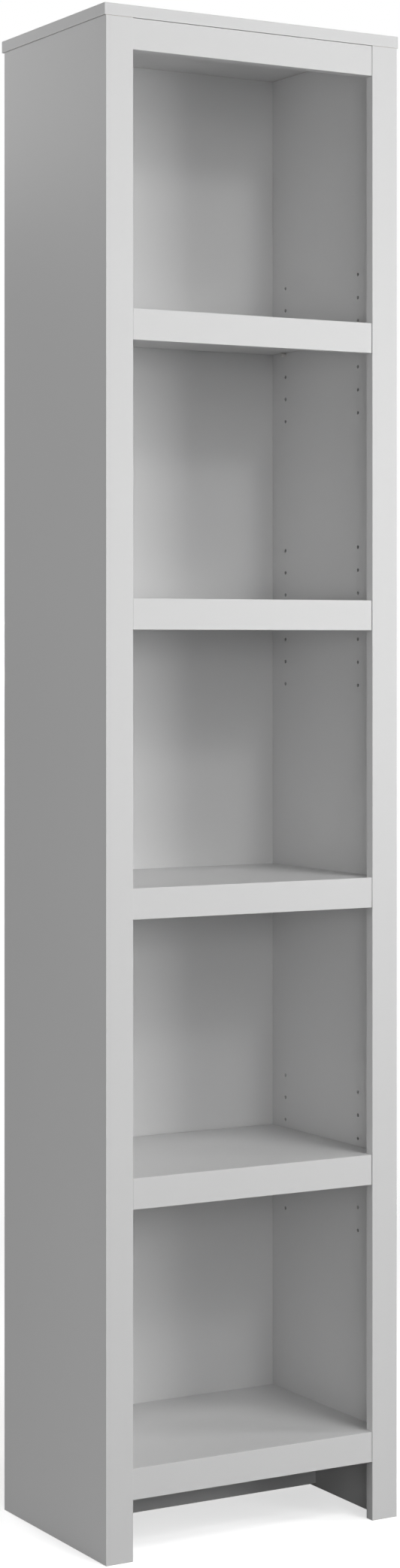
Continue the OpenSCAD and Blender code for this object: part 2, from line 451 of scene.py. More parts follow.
@dataclass(frozen=True)
class Metal:
    """A bare or plated metal with a fine uneven polish."""

    name: str
    colour: Colour
    roughness: float
    grain_per_metre: float = 1200.0
    grain_depth: float = 0.01 * MM
    tarnish: float = 0.12
    stains_per_metre: float = 160.0

    def material(self) -> bpy.types.Material:
        """Builds the metal's material.

        Returns:
            The material.
        """
        surface = Surface(self.name)
        dull = dimmed(self.colour, self.tarnish)
        grain = surface.noise(self.grain_per_metre, 2.0)
        stains = surface.noise(self.stains_per_metre, 3.0)
        return surface.finish(
            {
                "Base Color": surface.mix(stains, dull, self.colour),
                "Metallic": 1.0,
                "Roughness": self.roughness + (stains - 0.5) * 0.15 + (grain - 0.5) * 0.08,
                "Normal": surface.bump(grain, self.grain_depth),
            }
        )


class Palette:
    """The finished materials: one for each slot, one for raw core and one darker paint that paints shade
    into the pin holes.
    """

    def __init__(self) -> None:
        """Builds every material once."""
        self.paint = SatinPaint().material()
        # The pin holes' lining is a darker grey paint than the faces: painted shade inside the holes.
        hole_shade = SatinPaint("thin_paint", (0.66, 0.66, 0.66, 1.0), 0.55, peel_depth=0.05 * MM, cloudiness=0.2)
        self.thin_paint = hole_shade.material()
        self.core = FibreCore().material()
        self.hardboard = ScreenedHardboard().material()
        self.beech = TurnedBeech().material()
        self.nickel = Metal("nickel_plate", (0.81, 0.80, 0.78, 1.0), 0.42).material()
        self.zinc = Metal("zinc_plate", (0.60, 0.62, 0.64, 1.0), 0.34).material()
        cast = Metal(
            "die_cast_alloy", (0.42, 0.43, 0.45, 1.0), 0.48, grain_per_metre=500.0, grain_depth=0.03 * MM
        )
        self.die_cast = cast.material()


# ---------------------------------------------------------------- geometry node trees


class Generator(Graph):
    """A Geometry Nodes tree with named inputs."""

    def __init__(self, name: str, inputs: Mapping[str, str]) -> None:
        """Makes the tree and its sockets.

        Args:
            name: The tree's name.
            inputs: The named inputs after the geometry, each with its socket type.
        """
        super().__init__(bpy.data.node_groups.new(name, "GeometryNodeTree"))
        face = self.tree.interface
        face.new_socket("Geometry", in_out="INPUT", socket_type="NodeSocketGeometry")
        face.new_socket("Geometry", in_out="OUTPUT", socket_type="NodeSocketGeometry")
        self.keys = {}
        for label, kind in inputs.items():
            self.keys[label] = face.new_socket(label, in_out="INPUT", socket_type=kind).identifier
        self.entry = self.node("NodeGroupInput").outputs

    def placed(self, part: Any, turn: Any, size: Any = (1.0, 1.0, 1.0)) -> bpy.types.NodeSocket:
        """Sets a part on every point of the input.

        Args:
            part: The part's geometry.
            turn: How each copy is turned.
            size: How each copy is scaled.

        Returns:
            The copies.
        """
        copies = self.node(
            "GeometryNodeInstanceOnPoints",
            inputs={"Points": self.entry["Geometry"], "Instance": part, "Rotation": turn, "Scale": size},
        )
        return copies.outputs[0]

    def close(
        self, instances: bpy.types.NodeSocket, finish: bpy.types.NodeSocket, choice: Any = True
    ) -> None:
        """Ends the tree in Realize Instances and Set Material.

        Args:
            instances: What the tree has made.
            finish: The material input.
            choice: The faces that get the material; all of them by default.
        """
        real = self.node("GeometryNodeRealizeInstances", inputs={0: instances})
        dressed = self.node(
            "GeometryNodeSetMaterial",
            inputs={"Geometry": real.outputs[0], "Selection": choice, "Material": finish},
        )
        self.node("NodeGroupOutput", inputs={0: dressed.outputs[0]})

    def apply(self, carrier: bpy.types.Object, values: Mapping[str, Any]) -> bpy.types.Object:
        """Runs the tree on an object and keeps the plain mesh that comes out.

        Args:
            carrier: The object whose mesh feeds the tree.
            values: A value for each named input.

        Returns:
            The same object with its new mesh and no modifier.
        """
        modifier = carrier.modifiers.new(self.tree.name, "NODES")
        modifier.node_group = self.tree
        for label, value in values.items():
            modifier[self.keys[label]] = value
        return settled(carrier)


def placing_tree() -> Generator:
    """Builds the tree that sets one fitting on every point, each turned a little at random.

    Returns:
        The tree.
    """
    tree = Generator(
        "placed_fittings",
        {
            "Part": "NodeSocketObject",
            "Turn": "NodeSocketVector",
            "Tilt": "NodeSocketFloat",
            "Seed": "NodeSocketInt",
            "Finish": "NodeSocketMaterial",
        },
    )
    part = tree.node("GeometryNodeObjectInfo", inputs={"Object": tree.entry["Part"]})
    most = tree.node("ShaderNodeCombineXYZ", inputs={axis: tree.entry["Tilt"] for axis in "XYZ"})
    least = tree.node("ShaderNodeVectorMath", {"operation": "SCALE"}, {0: most.outputs[0], "Scale": -1.0})
    wobble = tree.node(
        "FunctionNodeRandomValue",
        {"data_type": "FLOAT_VECTOR"},
        {0: least.outputs[0], 1: most.outputs[0], "Seed": tree.entry["Seed"]},
    )
    turn = tree.node(
        "ShaderNodeVectorMath", {"operation": "ADD"}, {0: tree.entry["Turn"], 1: wobble.outputs[0]}
    )
    tree.close(tree.placed(part.outputs["Geometry"], turn.outputs[0]), tree.entry["Finish"])
    return tree


def dowel_tree() -> Generator:
    """Builds the tree that makes a fluted dowel with chamfered ends on every point.

    Returns:
        The tree.
    """
    tree = Generator(
        "fluted_dowels",
        {
            "Diameter": "NodeSocketFloat",
            "Length": "NodeSocketFloat",
            "Chamfer": "NodeSocketFloat",
            "Flutes": "NodeSocketInt",
            "Flute Depth": "NodeSocketFloat",
            "Turn": "NodeSocketVector",
            "Finish": "NodeSocketMaterial",
        },
    )
    diameter = Signal(tree, tree.entry["Diameter"])
    length = Signal(tree, tree.entry["Length"])
    chamfer = Signal(tree, tree.entry["Chamfer"])
    flutes = Signal(tree, tree.entry["Flutes"])
    faces_a_flute = 4
    end_from = 0.9
    rod = tree.node(
        "GeometryNodeMeshCylinder",
        inputs={
            "Vertices": flutes * faces_a_flute,
            "Side Segments": 3,
            "Radius": diameter * 0.5,
            "Depth": length,
        },
    )
    place = tree.node("ShaderNodeSeparateXYZ", inputs={0: tree.node("GeometryNodeInputPosition").outputs[0]})
    x, y, z = (Signal(tree, place.outputs[i]) for i in range(3))
    angle = x.math("ARCTAN2", y, x)
    hollow = (1 - (angle * flutes).of("COSINE")) * 0.5 * Signal(tree, tree.entry["Flute Depth"])
    end = (z.of("ABSOLUTE") / (length * 0.5)).above(end_from)
    kept = 1 - (hollow + chamfer * end) / (diameter * 0.5)
    top = z.of("SIGN") * (length * 0.5 - (1 - end) * chamfer)
    moved = tree.node("ShaderNodeCombineXYZ", inputs={"X": x * kept, "Y": y * kept, "Z": top})
    shaped = tree.node(
        "GeometryNodeSetPosition", inputs={"Geometry": rod.outputs["Mesh"], "Position": moved.outputs[0]}
    )
    tree.close(tree.placed(shaped.outputs[0], tree.entry["Turn"]), tree.entry["Finish"])
    return tree


def drilling_tree() -> Generator:
    """Builds the tree that drills a board. Its points carry each hole's turn and size.

    Returns:
        The tree.
    """
    tree = Generator(
        "drilled_board",
        {"Board": "NodeSocketObject", "Facets": "NodeSocketInt", "Core": "NodeSocketMaterial"},
    )
    bit = tree.node(
        "GeometryNodeMeshCylinder",
        inputs={"Vertices": tree.entry["Facets"], "Radius": 0.5, "Depth": 1.0},
    )
    bared = tree.node(
        "GeometryNodeSetMaterial", inputs={"Geometry": bit.outputs["Mesh"], "Material": tree.entry["Core"]}
    )
    turn, size = (
        tree.node("GeometryNodeInputNamedAttribute", {"data_type": "FLOAT_VECTOR"}, {"Name": name})
        for name in ("turn", "size")
    )
    bits = tree.placed(bared.outputs[0], turn.outputs["Attribute"], size.outputs["Attribute"])
    solid = tree.node("GeometryNodeRealizeInstances", inputs={0: bits})
    board = tree.node("GeometryNodeObjectInfo", inputs={"Object": tree.entry["Board"]})
    cut = tree.node(
        "GeometryNodeMeshBoolean",
        {"operation": "DIFFERENCE", "solver": "EXACT"},
        {"Mesh 1": board.outputs["Geometry"], "Mesh 2": solid.outputs[0], "Self Intersection": True},
    )
    bare = tree.node("GeometryNodeMaterialSelection", inputs={0: tree.entry["Core"]})
    tree.close(cut.outputs[0], tree.entry["Core"], bare.outputs[0])
    return tree


# ---------------------------------------------------------------- meshes


@dataclass(frozen=True)
class Box:
    """A box between two corners, in metres."""

    low: Vector
    high: Vector

    @property
    def centre(self) -> Vector:
        """The middle of the box."""
        return (self.low + self.high) / 2

    @property
    def size(self) -> Vector:
        """The box's length along each axis."""
        return self.high - self.low


@dataclass(frozen=True)
class Hole:
    """A round hole, drilled along one axis."""

    centre: Vector
    axis: Axis
    diameter: float
    length: float


def node_box(node: str) -> Box:
    """Gives the box of a frame node."""
    return Box(*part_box(node))


def inner_wall(side: Side) -> float:
    """Gives the X of a side panel's inner face."""
    box = node_box("side_panel_" + side.word)
    return box.high.x if side is Side.LEFT else box.low.x


def solid_boxes(node: str) -> list[Box]:
    """Finds the separate solids of a frame node on a merged copy of its mesh.

    Args:
        node: The node's name.

    Returns:
        The box of each solid, in order of height, then depth, then width.
    """
    mesh = bmesh.new()
    mesh.from_mesh(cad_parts[node].data)
    bmesh.ops.remove_doubles(mesh, verts=mesh.verts, dist=WELD)
    waiting = set(mesh.verts)
    boxes = []
    while waiting:
        island = [waiting.pop()]
        for vert in island:
            near = {edge.other_vert(vert) for edge in vert.link_edges} & waiting
            waiting -= near
            island.extend(near)
        spans = [[vert.co[i] for vert in island] for i in range(3)]
        boxes.append(Box(Vector(map(min, spans)), Vector(map(max, spans))))
    mesh.free()
    return sorted(boxes, key=lambda box: [round(box.centre[i], 4) for i in (2, 1, 0)])


def long_axis(box: Box) -> Axis:
    """Gives the axis that the longest side of a box lies along."""
    return (Axis.X, Axis.Y, Axis.Z)[max(range(3), key=lambda i: box.size[i])]


def new_object(name: str, mesh: bpy.types.Mesh) -> bpy.types.Object:
    """Links a new object that stands at the origin.

    Args:
        name: The object's name.
        mesh: Its mesh, with its place in it.

    Returns:
        The object.
    """
    made = bpy.data.objects.new(name, mesh)
    bpy.context.scene.collection.objects.link(made)
    return made


def mesh_data(name: str, mesh: bmesh.types.BMesh) -> bpy.types.Mesh:
    """Turns a built mesh into mesh data, and frees it.

    Args:
        name: The data's name.
        mesh: The built mesh.

    Returns:
        The data.
    """
    data = bpy.data.meshes.new(name)
    mesh.to_mesh(data)
    mesh.free()
    return data


def points_object(name: str, points: Iterable[Vector]) -> bpy.types.Object:
    """Makes an object of loose points, to feed a Geometry Nodes tree.

    Args:
        name: The object's name.
        points: The points.

    Returns:
        The object.
    """
    mesh = bpy.data.meshes.new(name)
    mesh.from_pydata([tuple(point) for point in points], [], [])
    return new_object(name, mesh)


def lathe(name: str, profile: Outline, steps: int, crisp_from: float = math.radians(30)) -> bpy.types.Object:
    """Turns a profile about Z into a closed solid.

    Args:
        name: The object's name.
        profile: Radius and height of each ring from the bottom to the top; the ends have radius 0.
        steps: Faces round the solid.
        crisp_from: The angle from which a shoulder is crisp.

    Returns:
        The object, with smooth flanks and crisp shoulders.
    """
    mesh = bmesh.new()
    rings = []
    for radius, height in profile:
        around = range(steps) if radius > 0 else range(1)
        turns = [math.tau * k / steps for k in around]
        rings.append([mesh.verts.new((radius * math.cos(a), radius * math.sin(a), height)) for a in turns])
    for below, above in zip(rings, rings[1:]):
        for k in range(steps):
            corners = [below[k % len(below)], below[(k + 1) % len(below)], above[(k + 1) % len(above)]]
            corners.append(above[k % len(above)])
            mesh.faces.new(list(dict.fromkeys(corners)))
    bmesh.ops.recalc_face_normals(mesh, faces=mesh.faces)
    data = mesh_data(name, mesh)
    data.shade_smooth()
    data.set_sharp_from_angle(angle=crisp_from)
    return new_object(name, data)


def settled(made: bpy.types.Object) -> bpy.types.Object:
    """Turns an object's modifiers into plain mesh.

    Args:
        made: The object.

    Returns:
        The same object with its new mesh and no modifiers.
    """
    graph = bpy.context.evaluated_depsgraph_get()
    data = bpy.data.meshes.new_from_object(made.evaluated_get(graph), depsgraph=graph)
    data.name = made.name
    made.modifiers.clear()
    made.data = data
    return made


def sweep(made: bpy.types.Object) -> None:
    """Clears the slivers that crossing holes leave in a mesh.

    Args:
        made: The object.
    """
    mesh = bmesh.new()
    mesh.from_mesh(made.data)
    bmesh.ops.remove_doubles(mesh, verts=mesh.verts, dist=WELD)
    bmesh.ops.dissolve_degenerate(mesh, dist=WELD, edges=mesh.edges)
    mesh.to_mesh(made.data)
    mesh.free()


def joined(name: str, pieces: Sequence[bpy.types.Object]) -> bpy.types.Object:
    """Joins pieces of one material into one object, and removes them.

    Args:
        name: The new object's name.
        pieces: The pieces.

    Returns:
        The new object.
    """
    mesh = bmesh.new()
    for piece in pieces:
        mesh.from_mesh(piece.data)
    data = mesh_data(name, mesh)
    data.materials.append(pieces[0].data.materials[0])
    discard(*pieces)
    return new_object(name, data)


def blind_hole(mouth: Vector, into: Vector, axis: Axis, diameter: float, depth: float) -> Hole:
    """Gives a hole that is open at one end, where the drill starts a little way off the face.

    Args:
        mouth: The middle of its open end.
        into: The direction in which it runs.
        axis: The same direction without its sign.
        diameter: Its diameter.
        depth: Its depth.

    Returns:
        The hole.
    """
    start = 1.0 * MM
    return Hole(mouth + into * (depth - start) / 2, axis, diameter, depth + start)


def on_side(things: Iterable[Any], side: Side) -> list[Any]:
    """Keeps the boxes or holes that are on one side of the case."""
    return [thing for thing in things if thing.centre.x * side.value > 0]


def within(box: Box, holes: Iterable[Hole]) -> list[Hole]:
    """Keeps the holes whose middles are as high as a board."""
    return [hole for hole in holes if box.low.z < hole.centre.z < box.high.z]


def discard(*objects: bpy.types.Object) -> None:
    """Removes objects that only helped to make others."""
    for made in objects:
        bpy.data.objects.remove(made)


@dataclass
class Board:
    """A board with softened edges, painted faces and drilled holes."""

    name: str
    node: str
    body: str
    arris: float = 0.6 * MM
    arris_steps: int = 3
    raw: tuple[Face, ...] = ()
    tight: tuple[tuple[Face, Face], ...] = ()
    tight_share: float = 0.12
    holes: list[Hole] = field(default_factory=list)
    painted_holes: list[Hole] = field(default_factory=list)
    facets: int = 32
    face_finish: bpy.types.Material | None = None
    raw_finish: bpy.types.Material | None = None
    hole_finish: bpy.types.Material | None = None
    slot: Slot = Slot.PAINT

    def _blank(self) -> bpy.types.Object:
        """Makes the board before it is drilled, rounded along every edge but hardly along tight joints.

        Returns:
            The board.
        """
        box = node_box(self.node)
        mesh = bmesh.new()
        bmesh.ops.create_cube(mesh, size=1.0)
        for vert in mesh.verts:
            vert.co = Vector(c * s for c, s in zip(vert.co, box.size)) + box.centre
        mesh.normal_update()
        tight = [{face.value for face in pair} for pair in self.tight]
        weight = mesh.edges.layers.float.new("bevel_weight_edge")
        for edge in mesh.edges:
            normals = {tuple(round(c) for c in face.normal) for face in edge.link_faces}
            edge[weight] = self.tight_share if normals in tight else 1.0
        raw = {face.value for face in self.raw}
        for face in mesh.faces:
            face.material_index = int(tuple(round(c) for c in face.normal) in raw)
        data = mesh_data(self.name, mesh)
        data.materials.append(self.face_finish)
        data.materials.append(self.raw_finish)
        made = new_object(self.name, data)
        arris = made.modifiers.new("arris", "BEVEL")
        arris.limit_method = "WEIGHT"
        arris.width = self.arris
        arris.segments = self.arris_steps
        return settled(made)

    def _drilled(
        self,
        blank: bpy.types.Object,
        holes: Sequence[Hole],
        lining: bpy.types.Material,
        drilling: Generator,
    ) -> bpy.types.Object:
        """Drills holes into the board.

        Args:
            blank: The board so far, which is used up.
            holes: The holes.
            lining: The finish inside the holes.
            drilling: The tree that drills boards.

        Returns:
            The drilled board.
        """
        blank.name = self.name + "_blank"
        made = points_object(self.name, [hole.centre for hole in holes])
        turns = [value for hole in holes for value in hole.axis.value]
        sizes = [value for hole in holes for value in (hole.diameter, hole.diameter, hole.length)]
        for label, values in (("turn", turns), ("size", sizes)):
            made.data.attributes.new(label, "FLOAT_VECTOR", "POINT").data.foreach_set("vector", values)
        drilling.apply(made, {"Board": blank, "Facets": self.facets, "Core": lining})
        discard(blank)
        sweep(made)
        return made

    def build(self, drilling: Generator) -> None:
        """Makes the board, drills it and hands it to its body.

        Args:
            drilling: The tree that drills boards.
        """
        made = self._blank()
        for holes, lining in ((self.painted_holes, self.hole_finish), (self.holes, self.raw_finish)):
            if holes:
                made = self._drilled(made, holes, lining, drilling)
        hand_over(made, self.body, self.node)


def hand_over(piece: bpy.types.Object, body: str, node: str) -> None:
    """Gives a finished piece to its body, in place of a frame node, and reports it.

    Args:
        piece: The finished piece.
        body: The body that it rides on.
        node: The frame node that it stands for.
    """
    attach(piece, body)
    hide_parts(node)
    log.info("%s: %d faces on %s", piece.name, len(piece.data.polygons), body)


# ---------------------------------------------------------------- the bookcase


SHELF_NAMES = ("upper", "second", "lower")


@dataclass(frozen=True)
class PinShape:
    """A shelf pin's outline, from the tip of its shank at the bottom to the end of its head."""

    shank_radius: float = 2.45 * MM
    undercut: float = 0.2 * MM
    relief: float = 0.25 * MM
    tip: Rings = ((0.7 * MM, 0.0), (0.15 * MM, 0.4 * MM), (0.0, 0.9 * MM))
    crown: Rings = ((0.0, 0.7 * MM), (0.2 * MM, 0.25 * MM), (0.7 * MM, 0.0))

    def outline(self, shank: float, head: float, head_radius: float) -> Outline:
        """Draws the pin.

        Args:
            shank: The shank's length, below the origin.
            head: The head's length, above the origin.
            head_radius: The head's radius.

        Returns:
            The outline. The tip and the crown are rings, each by its inset and its distance from the end.
        """
        neck = self.shank_radius - self.undercut
        return [
            (0, -shank),
            *((self.shank_radius - inset, rise - shank) for inset, rise in self.tip),
            (self.shank_radius, -2 * self.relief),
            (neck, -self.relief),
            (neck, 0),
            (head_radius - self.undercut, 0),
            (head_radius, self.undercut),
            *((head_radius - inset, head - drop) for inset, drop in self.crown),
            (0, head),
        ]


@dataclass(frozen=True)
class BoltShape:
    """A cam bolt's outline: ringed thread, flange, barrel, neck and head, from the thread's end upwards."""

    end_radius: float = 1.6 * MM
    core_radius: float = 1.9 * MM
    crest_radius: float = 2.45 * MM
    turns: int = 9
    pitch: float = 1.05 * MM
    first_turn: float = 0.6 * MM
    flank: float = 0.45 * MM
    crest: float = 0.15 * MM
    flange_radius: float = 3.5 * MM
    flange: float = 1.5 * MM
    arris: float = 0.1 * MM
    barrel_radius: float = 3.0 * MM
    barrel_arris: float = 0.2 * MM
    neck_radius: float = 1.75 * MM
    neck_from: float = 7.0 * MM
    neck_to: float = 3.0 * MM
    head_radius: float = 3.1 * MM
    crown: Rings = ((0.0, 2.0 * MM), (0.0, 1.0 * MM), (0.5 * MM, 0.3 * MM))

    def outline(self, thread: float, head: float) -> Outline:
        """Draws the bolt.

        Args:
            thread: The thread's length, below the origin.
            head: How far the head's end is above the origin.

        Returns:
            The outline.
        """
        points: Outline = [(0, -thread), (self.end_radius, -thread)]
        for turn in range(self.turns):
            start = self.first_turn + turn * self.pitch - thread
            top = start + self.flank
            points.append((self.core_radius, start))
            points += [(self.crest_radius, height) for height in (top, top + self.crest)]
        lip = self.flange_radius - self.arris
        shoulder = self.barrel_radius - self.barrel_arris
        points += [
            (self.core_radius, -2 * self.arris),
            (self.core_radius, 0),
            (lip, 0),
            (self.flange_radius, self.arris),
            (self.flange_radius, self.flange - self.arris),
            (lip, self.flange),
            (self.barrel_radius, self.flange),
            (self.barrel_radius, head - self.neck_from - self.barrel_arris),
            (shoulder, head - self.neck_from),
            (self.neck_radius, head - self.neck_from),
            (self.neck_radius, head - self.neck_to),
            *((self.head_radius - inset, head - drop) for inset, drop in self.crown),
            (self.neck_radius, head),
            (0, head),
        ]
        return points


@dataclass(frozen=True)
class NailShape:
    """A nail's outline: point, ringed shank and low head, from the point upwards."""

    radius: float = 0.7 * MM
    bevel: float = 0.7 * MM
    point: float = 1.6 * MM
    rings: tuple[float, ...] = (3.4 * MM, 2.4 * MM)
    ring_depth: float = 0.08 * MM
    ring_width: float = 0.4 * MM
    head_arris: float = 0.1 * MM
    crown: Rings = ((1.0, 0.55), (0.86, 0.85), (0.45, 1.0))

    def outline(self, length: float, proud: float, head_radius: float) -> Outline:
        """Draws the nail.

        Args:
            length: How deep the point is driven below the origin.
            proud: How far the head stands above it.
            head_radius: The head's radius.

        Returns:
            The outline. The crown is rings, each by its share of the head's radius and height.
        """
        points: Outline = [
            (0, -length),
            (self.radius / 2, self.bevel - length),
            (self.radius, self.point - length),
        ]
        for below in self.rings:
            groove = (self.radius - self.ring_depth, self.ring_width / 2 - below)
            points += [(self.radius, -below), groove, (self.radius, self.ring_width - below)]
        return points + [
            (self.radius, 0),
            (head_radius - self.head_arris, 0),
            (head_radius, 1.5 * self.head_arris),
            *((head_radius * across, proud * up) for across, up in self.crown),
            (0, proud),
        ]


@dataclass
class Fittings:
    """Dowels, shelf pins, cam bolts and nails."""

    palette: Palette
    flutes: int = 20
    flute_depth: float = 0.22 * MM
    dowel_chamfer: float = 1.0 * MM
    dowel_hole_room: float = 1.0 * MM
    pin: PinShape = PinShape()
    bolt: BoltShape = BoltShape()
    steps: int = 40
    nail: NailShape = NailShape()
    nail_steps: int = 24
    nail_tilt: float = math.radians(1.2)
    tilt_seed: int = 7
    placing: Generator = field(default_factory=placing_tree)
    fluting: Generator = field(default_factory=dowel_tree)

    def _place(
        self,
        part: bpy.types.Object,
        name: str,
        points: list[Vector],
        axis: Axis,
        finish: bpy.types.Material,
        tilt: float = 0.0,
    ) -> bpy.types.Object:
        """Sets copies of a part on points, as one piece.

        Args:
            part: The part, drawn along +Z.
            name: The piece's name.
            points: Where the part's origin goes.
            axis: The direction that the part's +Z takes.
            finish: The material.
            tilt: The most that a copy leans at random, in radians.

        Returns:
            The piece.
        """
        piece = points_object(name, points)
        values = {"Part": part, "Turn": axis.value, "Tilt": tilt, "Seed": self.tilt_seed, "Finish": finish}
        return self.placing.apply(piece, values)

    def dowels(self, node: str, body: str) -> None:
        """Makes one group of dowels.

        Args:
            node: The frame node of the group.
            body: The body that it rides on.
        """
        boxes = solid_boxes(node)
        spans = sorted(boxes[0].size)
        piece = points_object(node + "_fluted", [box.centre for box in boxes])
        self.fluting.apply(
            piece,
            {
                "Diameter": spans[0],
                "Length": spans[2],
                "Chamfer": self.dowel_chamfer,
                "Flutes": self.flutes,
                "Flute Depth": self.flute_depth,
                "Turn": long_axis(boxes[0]).value,
                "Finish": self.palette.beech,
            },
        )
        hand_over(piece, body, node)

    def dowel_holes(self, *nodes: str) -> list[Hole]:
        """Gives the holes that groups of dowels need, a little longer than the dowels.

        Args:
            nodes: The frame nodes of the groups.

        Returns:
            The holes.
        """
        holes = []
        for box in (box for node in nodes for box in solid_boxes(node)):
            spans = sorted(box.size)
            holes.append(Hole(box.centre, long_axis(box), spans[0], spans[2] + 2 * self.dowel_hole_room))
        return holes

    def pins(self, node: str, side: Side) -> None:
        """Turns one pair of shelf pins.

        Args:
            node: The frame node of the pair, which is also the name of its body.
            side: The side panel that the pins stand in.
        """
        boxes = solid_boxes(node)
        box = boxes[0]
        wall = inner_wall(side)
        inner, outer = (box.high.x, box.low.x) if side is Side.LEFT else (box.low.x, box.high.x)
        outline = self.pin.outline(abs(outer - wall), abs(inner - wall), box.size.z / 2)
        part = lathe("turned_pin", outline, self.steps)
        points = [Vector((wall, box.centre.y, box.centre.z)) for box in boxes]
        piece = self._place(part, node + "_turned", points, side.inwards, self.palette.nickel)
        discard(part)
        hand_over(piece, node, node)

    def cam_bolts(self, node: str) -> None:
        """Makes the cam bolts, with ringed threads, a flange, a neck and a head.

        Args:
            node: The frame node of the bolts.
        """
        boxes = solid_boxes(node)
        wall = inner_wall(Side.RIGHT)
        thread = max(box.high.x for box in boxes) - wall
        head = wall - min(box.low.x for box in on_side(boxes, Side.RIGHT))
        part = lathe("ringed_bolt", self.bolt.outline(thread, head), self.steps)
        pieces = []
        for side in Side:
            points = [
                Vector((inner_wall(side), box.centre.y, box.centre.z)) for box in on_side(boxes, side)
            ]
            name = f"{node}_{side.word}"
            pieces.append(self._place(part, name, points, side.inwards, self.palette.zinc))
        discard(part)
        hand_over(joined(node + "_threaded", pieces), "case", node)

    def nails(self, node: str) -> None:
        """Drives the back panel's nails, each leaning a hair.

        Args:
            node: The frame node of the nails.
        """
        boxes = solid_boxes(node)
        rear = node_box("back_panel").high.y
        length = rear - boxes[0].low.y
        proud = boxes[0].high.y - rear
        outline = self.nail.outline(length, proud, boxes[0].size.x / 2)
        part = lathe("driven_nail", outline, self.nail_steps)
        points = [Vector((box.centre.x, rear, box.centre.z)) for box in boxes]
        piece = self._place(part, node + "_driven", points, Axis.Y, self.palette.zinc, self.nail_tilt)
        discard(part)
        hand_over(piece, "case", node)


class Workshop:
    """The finishes, the drill and the fittings that the case and the shelves are made with."""

    def __init__(self) -> None:
        """Mixes the finishes and sets up the tools."""
        self.palette = Palette()
        self.drilling = drilling_tree()
        self.fittings = Fittings(self.palette)

    def board(self, node: str, body: str, **options: Any) -> None:
        """Makes one painted board.

        Args:
            node: The frame node of the board.
            body: The body that it rides on.
            options: Fields of the board other than its names and its usual finishes.
        """
        finishes = {"face_finish": self.palette.paint, "raw_finish": self.palette.core}
        Board(node + "_painted", node, body, **finishes | options).build(self.drilling)


